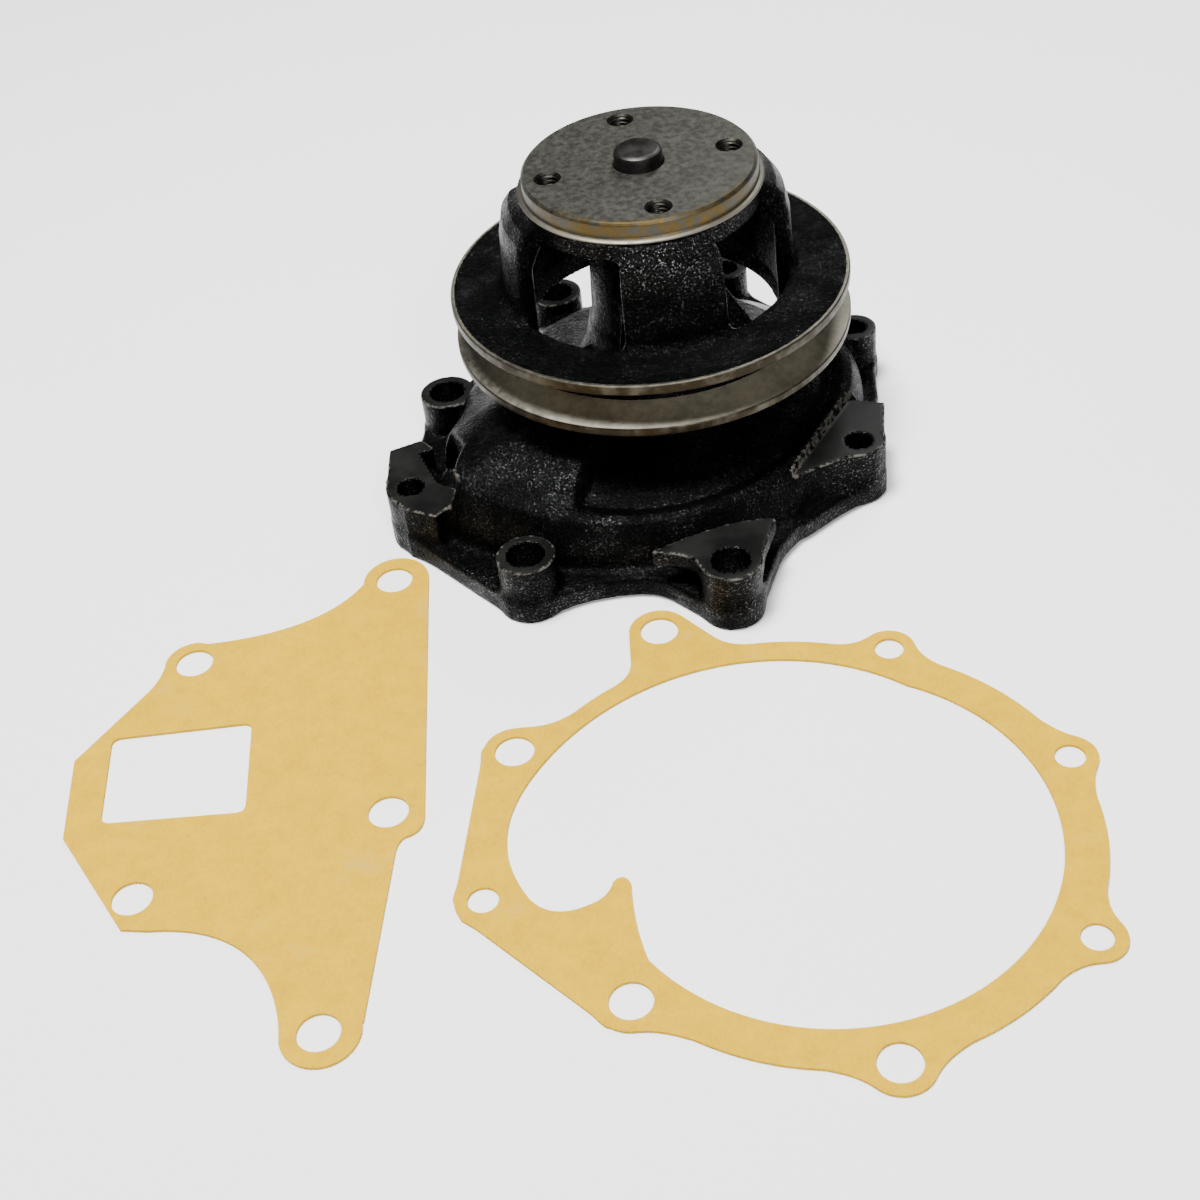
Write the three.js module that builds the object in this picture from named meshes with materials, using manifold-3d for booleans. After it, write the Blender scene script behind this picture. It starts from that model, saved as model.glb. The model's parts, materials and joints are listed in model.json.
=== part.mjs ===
// Cast iron engine water pump with its fan pulley, shaft bearing, face seal, impeller and two loose gaskets.
// Units are millimetres, +Z up. The origin is on the rotor's axis, in the plane of the block face.
import * as THREE from 'three';
import { mergeVertices } from 'three/addons/utils/BufferGeometryUtils.js';
import Module from 'manifold-3d';

const wasm = await Module();
wasm.setup();

// ---------- driving dimensions ----------
const GAP = 0.3;                 // clearance left between neighbouring pieces
const ROUND = 40;                // facets on the large turned shapes
const FINE = 16;                 // facets on the small turned shapes
const HOLE_FACETS = 12;

const SHAFT_R = 7.94;
const SHAFT_TAIL_Z = 1;
const SHAFT_NOSE_Z = 114;

const RACE_R = 15;               // outside radius of the integral shaft bearing
const RACE_BOTTOM_Z = 52.8;
const RACE_TOP_Z = 91.3;
const LAND_R = 12.3;             // bore of the outer race beside its ball grooves
const BALL_R = 2.2;
const BALL_COUNT = 8;
const PITCH_R = 10.44;           // radius of the circle through the ball centres
const REAR_ROW_Z = 61.5;
const FRONT_ROW_Z = 82.5;

const PULLEY_R = 68;
const PULLEY_TOP_Z = 68;
const PULLEY_BOTTOM_Z = 48.5;
const GROOVE_TOP_Z = 64.6;
const GROOVE_BOTTOM_Z = 51.5;
const GROOVE_ROOT_R = 56;
const GROOVE_HALF_ANGLE = 18;    // degrees
const FAN_FACE_Z = 109;
const FAN_FACE_R = 38.9;
const HUB_BOTTOM_Z = 95;
const LEG_COUNT = 4;
const LEG_WIDTH = 42;            // degrees
const FIRST_LEG = 6;             // degrees
const TAPPED_R = 3.97;
const TAPPED_CIRCLE_R = 30.3;

const OPENING_R = 65;            // impeller chamber and gasket opening
const VOLUTE_START = -42;        // degrees, where the volute begins to widen
const VOLUTE_END = -150;         // degrees, where it is widest
const VOLUTE_GROWTH = 24;
const FLANGE_R = 77;
const LEDGE_Z = 8;
const PAD_Z = 21;
const FOOT_DEPTH = 1.5;          // how far a lobe's feet stand inside the rim
const INWARD = 0.7;              // where a lobe starts, as a share of its bolt's distance
const BIG_HOLE_R = 6.1;
const SMALL_HOLE_R = 4.5;
const BIG_LOBE_R = 9.7;
const SMALL_LOBE_R = 8.2;
const SNOUT_TOP_Z = 93;
const SNOUT_R = 18.8;
const RIB_ANGLES = [22, 90, 244]; // degrees
const RIB_THICKNESS = 4.2;
const SEAL_BORE_R = 18.2;
const SEAL_BORE_TOP_Z = 43.4;
const SLINGER_BORE_R = 13.2;
const WEEP_R = 2;
const WEEP_Z = 49.3;
const CHAMBER_R = 53;
const CHAMBER_CEILING_Z = 26;    // over the seal, from where it slopes down to the edge
const CHAMBER_EDGE_Z = 22.4;
const OPENING_TOP_Z = 10;

const IMPELLER_R = 52;
const VANE_COUNT = 6;
const VANE_BOTTOM_Z = 4;
const SEAT_POCKET_R = 16.3;
const PAPER = 0.8;               // gasket thickness
const GASKET_SPIRAL_START = -30; // degrees
const GASKET_SPIRAL_END = -128;  // degrees
const GASKET_WIDENING = 0.262;   // per degree

// Bolt holes through the flange. The spread is how far the lobe flares round the rim on each side, in degrees.
const BOLTS = {
  a: { at: [-76, 12.5], big: true, spread: [22, 10] },
  b: { at: [-90, -41], big: false, spread: [12, 12] },
  c: { at: [-53, -84.5], big: true, spread: [12, 14] },
  d: { at: [11.5, -100.5], big: true, spread: [15, 18] },
  e: { at: [62.5, -48], big: false, spread: [22, 18] },
  f: { at: [73.5, 19.5], big: false, spread: [18, 18] },
  g: { at: [-32.5, 69.5], big: true, spread: [18, 20] },
  h: { at: [33.5, 71], big: false, spread: [17, 14] },
};

// The gasket's lobes are slimmer than the casting's.
const GASKET_SPREADS = {
  a: [12, 10], b: [12, 12], c: [10, 10], d: [12, 11], e: [9, 9], f: [9, 9], g: [11, 11], h: [9, 9],
};
const GASKET_BOLTS = Object.fromEntries(
  Object.entries(BOLTS).map(([name, bolt]) => [name, { ...bolt, spread: GASKET_SPREADS[name] }]),
);
const STRAIGHT_EDGES = [['a', 'b'], ['b', 'c']];

// ---------- materials ----------
function finish(color, roughness, metalness) {
  return new THREE.MeshStandardMaterial({ color, roughness, metalness });
}
const blackPaint = () => finish(0x0e0e10, 0.35, 0.2);
const steel = () => finish(0x8d8a84, 0.35, 1);
const darkSteel = () => finish(0x4a4a4c, 0.4, 1);
const castIron = () => finish(0x4b4b4d, 0.7, 0.8);
const brass = () => finish(0xb08d4a, 0.35, 1);
const blackRubber = () => finish(0x151515, 0.8, 0);
const carbon = () => finish(0x222326, 0.5, 0);
const ceramic = () => finish(0xe9e5da, 0.3, 0);
const gasketPaper = () => finish(0xdfb563, 0.85, 0);

// ---------- solids ----------
const radians = (degrees) => THREE.MathUtils.degToRad(degrees);
const polar = (radius, degrees) => [radius * Math.cos(radians(degrees)), radius * Math.sin(radians(degrees))];

function toSolid(geometry) {
  const bare = geometry.clone();
  bare.deleteAttribute('normal');
  bare.deleteAttribute('uv');
  const merged = mergeVertices(bare, 1e-4);
  const index = merged.index.array;
  const triangles = [];
  for (let i = 0; i < index.length; i += 3) {
    const [a, b, c] = [index[i], index[i + 1], index[i + 2]];
    if (a !== b && b !== c && c !== a) triangles.push([a, b, c]);
  }
  const place = merged.attributes.position;
  const corners = [0, 1, 2].map(() => new THREE.Vector3());
  let volume = 0;
  for (const triangle of triangles) {
    triangle.forEach((vertex, k) => corners[k].fromBufferAttribute(place, vertex));
    volume += corners[0].dot(corners[1].clone().cross(corners[2])) / 6;
  }
  if (volume < 0) triangles.forEach((triangle) => triangle.reverse());
  return new wasm.Manifold(new wasm.Mesh({
    numProp: 3,
    vertProperties: new Float32Array(place.array),
    triVerts: new Uint32Array(triangles.flat()),
  }));
}

function toGeometry(solid) {
  const mesh = solid.getMesh();
  const geometry = new THREE.BufferGeometry();
  geometry.setAttribute('position', new THREE.BufferAttribute(new Float32Array(mesh.vertProperties), 3));
  geometry.setIndex(new THREE.BufferAttribute(new Uint32Array(mesh.triVerts), 1));
  geometry.computeVertexNormals();
  return geometry;
}

// A turned solid about Z. The profile is a closed loop of [radius, height] points.
function lathe(profile, facets = ROUND) {
  const points = [...profile, profile[0]].map(([r, z]) => new THREE.Vector2(r, z));
  return toSolid(new THREE.LatheGeometry(points, facets).rotateX(Math.PI / 2));
}

function rod(radius, bottom, top, x = 0, y = 0, facets = HOLE_FACETS) {
  const geometry = new THREE.CylinderGeometry(radius, radius, top - bottom, facets);
  return toSolid(geometry.rotateX(Math.PI / 2).translate(x, y, (top + bottom) / 2));
}

function ring(inner, outer, bottom, top, facets = FINE) {
  return lathe([[inner, bottom], [outer, bottom], [outer, top], [inner, top]], facets);
}

function slab(shape, bottom, top, curveSegments = 8) {
  const depth = top - bottom;
  const geometry = new THREE.ExtrudeGeometry(shape, { depth, bevelEnabled: false, curveSegments });
  return toSolid(geometry.translate(0, 0, bottom));
}

function polygon(points) {
  return new THREE.Shape(points.map(([x, y]) => new THREE.Vector2(x, y)));
}

const join = (solids) => solids.reduce((whole, solid) => whole.add(solid));
const cut = (solid, tools) => tools.reduce((rest, tool) => rest.subtract(tool), solid);
const around = (count, make) => Array.from({ length: count }, (_, i) => make((360 / count) * i, i));

// ---------- the flange, shared by the housing and its gasket ----------

// How far the volute stands outside its starting circle at an angle, in degrees.
function growth(degrees) {
  const angle = degrees > 30 ? degrees - 360 : degrees;
  if (angle > VOLUTE_START) return 0;
  const share = (VOLUTE_START - angle) / (VOLUTE_START - VOLUTE_END);
  const falling = 1 - (VOLUTE_END - angle) / 24;
  return VOLUTE_GROWTH * Math.max(0, Math.min(share, falling));
}

function spiral(radius, from, to, step) {
  const points = [];
  for (let angle = from; angle <= to; angle += step) points.push(polar(radius + growth(angle), angle));
  return points;
}

const lobeRadius = (bolt) => (bolt.big ? BIG_LOBE_R : SMALL_LOBE_R);
const holeRadius = (bolt) => (bolt.big ? BIG_HOLE_R : SMALL_HOLE_R);

// A rounded lobe about a bolt hole, flaring inwards to its two feet on the rim.
function lobe(bolt) {
  const centre = new THREE.Vector2(...bolt.at);
  const radius = lobeRadius(bolt);
  const middle = THREE.MathUtils.radToDeg(centre.angle());
  const [first, last] = [-1, 1].map((side, i) => {
    const degrees = middle + side * bolt.spread[i];
    const turned = degrees > 180 ? degrees - 360 : degrees;
    const foot = new THREE.Vector2(...polar(FLANGE_R + growth(turned) - FOOT_DEPTH, degrees));
    const line = foot.clone().sub(centre);
    const touch = line.angle() - side * Math.acos(Math.min(1, radius / line.length()));
    return { foot, touch };
  });
  const shape = new THREE.Shape();
  shape.moveTo(centre.x * INWARD, centre.y * INWARD);
  shape.lineTo(first.foot.x, first.foot.y);
  shape.absarc(centre.x, centre.y, radius, first.touch, last.touch, false);
  shape.lineTo(last.foot.x, last.foot.y);
  return shape;
}

// The straight outer edge that joins two lobes along their common tangent.
function strap(one, other) {
  const [from, to] = [one, other].map((bolt) => new THREE.Vector2(...bolt.at));
  const line = to.clone().sub(from);
  const out = line.angle() - Math.acos((lobeRadius(one) - lobeRadius(other)) / line.length());
  const touch = (bolt, centre) => [
    centre.x + lobeRadius(bolt) * Math.cos(out), centre.y + lobeRadius(bolt) * Math.sin(out),
  ];
  return polygon([[from.x, from.y], touch(one, from), touch(other, to), [to.x, to.y], [0, 0]]);
}

function flange(bottom, top, bolts) {
  const rim = slab(polygon(spiral(FLANGE_R, -180, 172, 8)), bottom, top);
  const lobes = Object.values(bolts).map((bolt) => slab(lobe(bolt), bottom, top, 6));
  const straps = STRAIGHT_EDGES.map(([one, other]) => slab(strap(bolts[one], bolts[other]), bottom, top));
  return join([rim, ...lobes, ...straps]);
}

function boltHoles(bottom, top) {
  return Object.values(BOLTS).map((bolt) => rod(holeRadius(bolt), bottom, top, ...bolt.at));
}

// The tongue that reaches into the opening, and the side of the outlet beside it.
function addTongue(shape) {
  shape.quadraticCurveTo(-61.5, -8, -53.8, -20.3);
  shape.quadraticCurveTo(-53, -25, -57.4, -23.9);
  shape.quadraticCurveTo(-61, -20.4, -66, -21);
  shape.quadraticCurveTo(-78.5, -22.5, -79.4, -33);
  return shape;
}

// The chamber's opening in the casting.
function opening() {
  const shape = addTongue(polygon(spiral(OPENING_R, VOLUTE_END + 14, 176, 8)));
  shape.quadraticCurveTo(-79.5, -50, -68, -57.5);
  return shape;
}

// The gasket's opening, which widens more quickly than the casting's.
function gasketOpening() {
  const points = [];
  for (let angle = GASKET_SPIRAL_END; angle <= 176; angle += 8) {
    points.push(polar(OPENING_R + GASKET_WIDENING * Math.max(0, GASKET_SPIRAL_START - angle), angle));
  }
  const shape = addTongue(polygon(points));
  shape.quadraticCurveTo(-79.3, -58.7, ...points[0]);
  return shape;
}

// ---------- housing ----------

// The dome's profile: radius, height, share of the volute's growth, share of the outlet's extra height, and how
// much lower it is at the back.
const DOME = [
  [0, 10, 0, 0, 0], [0, 50, 0, 0, 0], [22, 50, 0, 0, 0], [24, 43, 0, 0.3, 1], [28, 36, 0, 0.8, 1.5],
  [35, 32, 0, 1, 2], [44, 29.5, 0.1, 1, 1.5], [52, 27.8, 0.4, 0.85, 1.5], [57, 25.5, 0.65, 0.8, 2.5],
  [60.5, 22, 0.8, 0.9, 2], [65, 24, 0.95, 0.5, 7], [69.5, 22, 1, 0.3, 8], [71.5, 17, 1, 0.1, 5],
  [72, LEDGE_Z - 3, 1, 0, 0], [50, LEDGE_Z - 3, 0, 0, 0],
];
const OUTLET_LIFT = 11;

function outletLift(degrees) {
  const angle = degrees > 30 ? degrees - 360 : degrees;
  const rise = THREE.MathUtils.smoothstep(-angle, 112, 124);
  const fall = 1 - THREE.MathUtils.smoothstep(-angle, 160, 185);
  return OUTLET_LIFT * rise * fall;
}

function behindShare(degrees) {
  return THREE.MathUtils.smoothstep(degrees, 15, 45) * (1 - THREE.MathUtils.smoothstep(degrees, 150, 175));
}

function dome() {
  const points = [...DOME, DOME[0]].map(([r, z]) => new THREE.Vector2(r, z));
  const geometry = new THREE.LatheGeometry(points, 48).rotateX(Math.PI / 2);
  const place = geometry.attributes.position;
  for (let i = 0; i < place.count; i += 1) {
    const [radius, height, widen, lift, drop] = DOME[i % points.length] ?? DOME[0];
    const degrees = THREE.MathUtils.radToDeg(Math.atan2(place.getY(i), place.getX(i)));
    const [x, y] = polar(radius + widen * growth(degrees), degrees);
    place.setXYZ(i, x, y, height + lift * outletLift(degrees) - drop * behindShare(degrees));
  }
  return toSolid(geometry);
}

function rib(degrees) {
  const shape = polygon([
    [SNOUT_R - 2, 34], [SNOUT_R - 2, 69], [SNOUT_R + 0.5, 69], [34, 42], [40, 31], [40, 26], [24, 34],
  ]);
  const geometry = new THREE.ExtrudeGeometry(shape, { depth: RIB_THICKNESS, bevelEnabled: false });
  geometry.translate(0, 0, -RIB_THICKNESS / 2).rotateX(Math.PI / 2).rotateZ(radians(degrees));
  return toSolid(geometry);
}

// Machined pads of the three front bolts, which are wider than plain round bosses.
function pads() {
  const outlet = polygon([[-92, -52], [-82, -59], [-72, -50], [-79, -36], [-82, -20], [-86, -15], [-97, -19]]);
  outlet.lineTo(-98, -36);
  const front = polygon([[4, -101], [0, -96.5], [-5, -93.5], [-12, -91]]);
  front.quadraticCurveTo(13, -80, 30, -83);
  front.lineTo(20, -103);
  const side = polygon([[58, -55], [38, -62], [63, -24], [75, -29], [70.5, -50]]);
  return [outlet, front, side].map((shape) => slab(shape, 0, PAD_Z));
}

function bosses() {
  return Object.values(BOLTS).map((bolt) => rod(lobeRadius(bolt), 0, PAD_Z, ...bolt.at, FINE));
}

// Everything inside the housing: the impeller's chamber, the seal's bore, the bearing's bore and the weep hole.
function inside() {
  const volute = lathe([[0, 2], [0, 17], [58, 17], [64, 12], [64, 2]]);
  const chamber = lathe([
    [0, 5], [0, CHAMBER_CEILING_Z], [23, CHAMBER_CEILING_Z], [24, CHAMBER_CEILING_Z - 2.2],
    [CHAMBER_R, CHAMBER_EDGE_Z], [CHAMBER_R, 5],
  ]);
  const weep = rod(WEEP_R, 11, 27, 0, 0, 8).rotate([90, 0, 0]).translate([0, 0, WEEP_Z]);
  return [
    slab(opening(), -1, OPENING_TOP_Z),
    volute,
    chamber,
    rod(SEAL_BORE_R, 20, SEAL_BORE_TOP_Z, 0, 0, FINE),
    rod(SLINGER_BORE_R - 2.2, 40, 50, 0, 0, FINE),
    rod(SLINGER_BORE_R, 45.5, 55, 0, 0, FINE),
    rod(RACE_R + GAP, RACE_BOTTOM_Z - GAP, SNOUT_TOP_Z + 1, 0, 0, FINE),
    weep,
  ];
}

function pumpBody() {
  const snout = lathe([
    [0, 40], [0, SNOUT_TOP_Z], [SNOUT_R - 1, SNOUT_TOP_Z], [SNOUT_R, SNOUT_TOP_Z - 1], [21, 50], [21, 40],
  ]);
  const solid = join([flange(0, LEDGE_Z, BOLTS), dome(), snout, ...RIB_ANGLES.map(rib), ...pads(), ...bosses()]);
  const pocket = slab(polygon([[-85.5, -22], [-81, -21.5], [-76, -36], [-80.5, -40]]), 13, 30);
  return cut(solid, [...inside(), pocket, ...boltHoles(-1, PAD_Z + 20)]);
}

// ---------- rotor ----------
function shaft() {
  return lathe([
    [0, SHAFT_TAIL_Z], [SHAFT_R - 1, SHAFT_TAIL_Z], [SHAFT_R, SHAFT_TAIL_Z + 1],
    [SHAFT_R, SHAFT_NOSE_Z - 1], [SHAFT_R - 1, SHAFT_NOSE_Z], [0, SHAFT_NOSE_Z],
  ], FINE);
}

// The legs stand in the sector of a full ring that lies between two radial planes.
function sector(degrees, width) {
  const reach = 90;
  return polygon([[0, 0], polar(reach, degrees - width / 2), polar(reach, degrees + width / 2)]);
}

function fanPulley() {
  const rootHalf = (GROOVE_TOP_Z - GROOVE_BOTTOM_Z) / 2
    - (PULLEY_R - GROOVE_ROOT_R) * Math.tan(radians(GROOVE_HALF_ANGLE));
  const grooveMiddle = (GROOVE_TOP_Z + GROOVE_BOTTOM_Z) / 2;
  const rim = lathe([
    [47, PULLEY_TOP_Z - 1], [48, PULLEY_TOP_Z], [PULLEY_R - 0.6, PULLEY_TOP_Z], [PULLEY_R, PULLEY_TOP_Z - 0.6],
    [PULLEY_R, GROOVE_TOP_Z], [GROOVE_ROOT_R, grooveMiddle + rootHalf], [GROOVE_ROOT_R, grooveMiddle - rootHalf],
    [PULLEY_R, GROOVE_BOTTOM_Z], [PULLEY_R, PULLEY_BOTTOM_Z + 0.6], [PULLEY_R - 0.6, PULLEY_BOTTOM_Z],
    [53, PULLEY_BOTTOM_Z], [47, 54],
  ]);
  const hub = lathe([
    [0, HUB_BOTTOM_Z], [0, FAN_FACE_Z], [FAN_FACE_R - 1, FAN_FACE_Z], [FAN_FACE_R, FAN_FACE_Z - 1],
    [FAN_FACE_R, 103.2], [40.6, 103.2], [40.6, 102.4], [39.7, 101.8], [39.4, HUB_BOTTOM_Z],
  ]);
  const legRing = lathe([
    [38, 101.6], [40, 101.6], [44.5, 99.4], [47.2, 95.6], [48.6, 89], [49.4, 71], [50.4, 67.5], [50.4, 60],
    [44.5, 54.5], [43.4, 55.5], [43, 68], [42.5, 86], [38.5, 93], [32, 96],
  ]);
  const legs = around(LEG_COUNT, (turn) => slab(sector(FIRST_LEG + turn, LEG_WIDTH), 40, 110)).map(
    (wedge) => legRing.intersect(wedge),
  );
  const tapped = around(LEG_COUNT, (turn) => rod(TAPPED_R, 86, 120, ...polar(TAPPED_CIRCLE_R, FIRST_LEG + turn)));
  return cut(join([rim, hub, ...legs]), [rod(SHAFT_R + GAP, 80, 120, 0, 0, FINE), ...tapped]);
}

// One backward-curved vane, as a bent bar from the hub to the rim.
function vane(degrees) {
  const half = 1.6;
  const inside = 14;
  const lag = 55;
  const steps = 7;
  const edge = (side) => Array.from({ length: steps + 1 }, (_, i) => {
    const share = i / steps;
    const radius = inside + (IMPELLER_R - 0.5 - inside) * share;
    const [x, y] = polar(radius, degrees - lag * share);
    const [u, v] = polar(side * half, degrees - lag * share + 60);
    return [x + u, y + v];
  });
  return slab(polygon([...edge(1), ...edge(-1).reverse()]), VANE_BOTTOM_Z, 18.5);
}

function impeller() {
  const disc = lathe([
    [0, 2.5], [0, 23.5], [19, 23.5], [20.4, 22.2], [21.5, 20.6], [46, 20.2], [IMPELLER_R, 19.6],
    [IMPELLER_R, 17.2], [24, 16.4], [19.5, 12], [17, 2.5],
  ]);
  const vanes = around(VANE_COUNT, vane);
  const round = rod(IMPELLER_R, 0, 30, 0, 0, ROUND);
  return cut(join([disc, ...vanes]).intersect(round), [
    rod(SHAFT_R + GAP, 0, 30, 0, 0, FINE),
    rod(SEAT_POCKET_R, 17.9, 30, 0, 0, FINE),
  ]);
}

function slinger() {
  return lathe([[SHAFT_R + GAP, 47.4], [9.4, 47.4], [11.6, 49], [11.6, 49.9], [SHAFT_R + GAP, 49.2]], FINE);
}

function seatCup() {
  return lathe([[8.6, 18.2], [16, 18.2], [16, 23.8], [14.7, 23.8], [14.7, 19.3], [8.6, 19.3]], FINE);
}

// ---------- bearing ----------
function outerRace() {
  const groove = (z) => [[LAND_R, z - 1.7], [LAND_R + 0.7, z - 1.1], [LAND_R + 0.7, z + 1.1], [LAND_R, z + 1.7]];
  return lathe([
    [LAND_R, RACE_BOTTOM_Z], ...groove(REAR_ROW_Z), ...groove(FRONT_ROW_Z), [LAND_R, RACE_TOP_Z],
    [RACE_R - 0.6, RACE_TOP_Z], [RACE_R, RACE_TOP_Z - 0.6], [RACE_R, RACE_BOTTOM_Z + 0.6],
    [RACE_R - 0.6, RACE_BOTTOM_Z],
  ], FINE);
}

function cage(z) {
  const pockets = around(BALL_COUNT, (turn) => {
    const [x, y] = polar(PITCH_R, turn);
    return toSolid(new THREE.SphereGeometry(BALL_R + GAP + 0.1, 6, 5).translate(x, y, z));
  });
  return cut(ring(9.2, 11.7, z - 3.3, z + 3.3), pockets);
}

function bearingSeal(bottom) {
  return lathe([
    [8.6, bottom + 0.6], [9.4, bottom], [11.9, bottom], [11.9, bottom + 1.5], [9.4, bottom + 1.5],
  ], FINE);
}

// ---------- face seal ----------
function sealCase() {
  return lathe([
    [16.9, 24.9], [20.5, 24.9], [20.5, 25.7], [17.9, 25.7], [17.9, 43.1], [11, 43.1], [11, 42.3], [17, 42.3],
  ], FINE);
}

function bellows() {
  return lathe([
    [10, 30.8], [14.2, 30.8], [14.2, 32.4], [12.2, 34], [14, 36], [12.2, 38], [14, 40], [14, 42],
    [10.4, 42], [10.4, 40.4], [9, 38.2], [10.4, 36], [9, 34], [9.4, 32.4],
  ], FINE);
}

class Coil extends THREE.Curve {
  constructor(radius, bottom, top, turns) {
    super();
    Object.assign(this, { radius, bottom, top, turns });
  }

  getPoint(share, target = new THREE.Vector3()) {
    const [x, y] = polar(this.radius, 360 * this.turns * share);
    return target.set(x, y, this.bottom + (this.top - this.bottom) * share);
  }
}

function sealSpring() {
  const wire = new THREE.Shape().absarc(0, 0, 0.55, 0, Math.PI * 2);
  const path = new Coil(15.6, 33.2, 41.4, 3.5);
  const geometry = new THREE.ExtrudeGeometry(wire, { extrudePath: path, steps: 44, curveSegments: 3, bevelEnabled: false });
  return toSolid(geometry);
}

function carbonRing() {
  return lathe([[10, 25.9], [13.2, 25.9], [13.2, 27.6], [14.2, 27.6], [14.2, 30.5], [9.6, 30.5], [9.6, 27.6]], FINE);
}

// ---------- gaskets, lying beside the pump ----------
const VOLUTE_GASKET_AT = [24.1, -200.8];
const VOLUTE_GASKET_TURN = -151.6;

function voluteGasket() {
  const sheet = cut(flange(0, PAPER, GASKET_BOLTS), [
    slab(gasketOpening(), -1, PAPER + 1),
    ...boltHoles(-1, PAPER + 1),
  ]);
  return sheet.mirror([1, 0, 0]).rotate([0, 0, VOLUTE_GASKET_TURN]).translate([...VOLUTE_GASKET_AT, 0]);
}

function blockGasket() {
  const outline = new THREE.Shape();
  outline.moveTo(-87.3, -66);
  outline.lineTo(-90.5, -173);
  outline.quadraticCurveTo(-90.8, -179, -96.5, -180.2);
  outline.quadraticCurveTo(-98.4, -181.5, -99.2, -185);
  outline.lineTo(-108, -245);
  outline.absarc(-119.6, -244.6, 11.2, 0, -Math.PI * 0.93, true);
  outline.quadraticCurveTo(-136, -205, -170, -202.5);
  outline.lineTo(-177.8, -200.8);
  outline.lineTo(-199, -163);
  outline.lineTo(-199.6, -131);
  outline.lineTo(-179, -104);
  outline.quadraticCurveTo(-175.5, -99, -174.6, -93);
  outline.absarc(-165.2, -92.6, 9.4, Math.PI, Math.PI * 0.45, true);
  outline.quadraticCurveTo(-123, -85.5, -109, -64);
  outline.absarc(-98.4, -64.4, 11, Math.PI, 0, true);
  const bolts = [[-99, -64.6], [-164.9, -93], [-101.2, -169.5], [-175.5, -189.9], [-120, -244.9]];
  const port = polygon([[-186, -123.2], [-147, -124.2], [-144.3, -127], [-144.3, -159]]);
  port.lineTo(-147, -161.8);
  port.lineTo(-185.5, -159);
  port.lineTo(-188.2, -156);
  port.lineTo(-188.8, -126);
  return cut(slab(outline, 0, PAPER), [
    slab(port, -1, PAPER + 1),
    ...bolts.map((at) => rod(BIG_HOLE_R, -1, PAPER + 1, ...at)),
  ]);
}

// ---------- assembly ----------
const group = new THREE.Group();

function addPiece(name, solid, material) {
  const mesh = new THREE.Mesh(toGeometry(solid), material);
  mesh.name = name;
  group.add(mesh);
  return mesh;
}

addPiece('pump_body', pumpBody(), blackPaint());
addPiece('bearing_outer_race', outerRace(), steel());
addPiece('bearing_shaft', shaft(), darkSteel());
addPiece('fan_pulley', fanPulley(), blackPaint());
addPiece('impeller', impeller(), castIron());
addPiece('slinger', slinger(), steel());
addPiece('seal_case', sealCase(), brass());
addPiece('seal_bellows', bellows(), blackRubber());
addPiece('seal_spring', sealSpring(), steel());
addPiece('seal_carbon_ring', carbonRing(), carbon());
addPiece('ceramic_seat', ring(9.3, 14.4, 19.6, 25.6), ceramic());
addPiece('seat_cup', seatCup(), blackRubber());
addPiece('rear_bearing_seal', bearingSeal(54.2), blackRubber());
addPiece('front_bearing_seal', bearingSeal(88.4), blackRubber());

for (const [row, z] of [['rear', REAR_ROW_Z], ['front', FRONT_ROW_Z]]) {
  addPiece(`${row}_ball_cage`, cage(z), brass());
  around(BALL_COUNT, (turn, i) => {
    const ball = addPiece(`${row}_ball_${i + 1}`, toSolid(new THREE.SphereGeometry(BALL_R, 7, 5)), steel());
    ball.position.set(...polar(PITCH_R, turn), z);
    return ball;
  });
}

addPiece('volute_gasket', voluteGasket(), gasketPaper());
addPiece('block_gasket', blockGasket(), gasketPaper());

export default group;
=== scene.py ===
"""Looks of the water pump.

The housing, the pulley, the shaft and the two gaskets are new shapes. The bearing, the face seal,
the slinger and the impeller keep their CAD shapes and get a material.
"""
import json
import math

import bpy
import numpy as np
from mathutils import Matrix, Vector


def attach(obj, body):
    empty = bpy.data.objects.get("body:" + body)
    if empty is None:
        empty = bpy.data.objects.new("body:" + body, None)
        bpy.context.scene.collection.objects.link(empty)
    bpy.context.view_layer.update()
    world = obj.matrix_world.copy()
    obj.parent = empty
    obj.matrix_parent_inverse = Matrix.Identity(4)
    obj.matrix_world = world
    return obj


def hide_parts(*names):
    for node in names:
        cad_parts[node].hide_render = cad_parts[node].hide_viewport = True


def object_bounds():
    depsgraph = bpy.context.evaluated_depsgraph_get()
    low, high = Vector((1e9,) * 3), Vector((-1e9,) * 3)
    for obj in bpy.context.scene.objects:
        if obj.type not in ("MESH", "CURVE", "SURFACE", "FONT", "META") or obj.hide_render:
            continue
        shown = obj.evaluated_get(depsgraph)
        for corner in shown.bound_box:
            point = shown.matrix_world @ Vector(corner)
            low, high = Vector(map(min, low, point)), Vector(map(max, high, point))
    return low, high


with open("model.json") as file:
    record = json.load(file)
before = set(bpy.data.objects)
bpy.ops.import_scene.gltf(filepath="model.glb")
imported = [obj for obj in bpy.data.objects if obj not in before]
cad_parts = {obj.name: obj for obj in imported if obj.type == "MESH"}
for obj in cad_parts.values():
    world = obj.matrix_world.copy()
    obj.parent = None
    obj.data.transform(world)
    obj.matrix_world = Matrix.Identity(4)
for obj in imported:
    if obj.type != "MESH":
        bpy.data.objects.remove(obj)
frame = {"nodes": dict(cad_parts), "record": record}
CAD_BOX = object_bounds()

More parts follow.
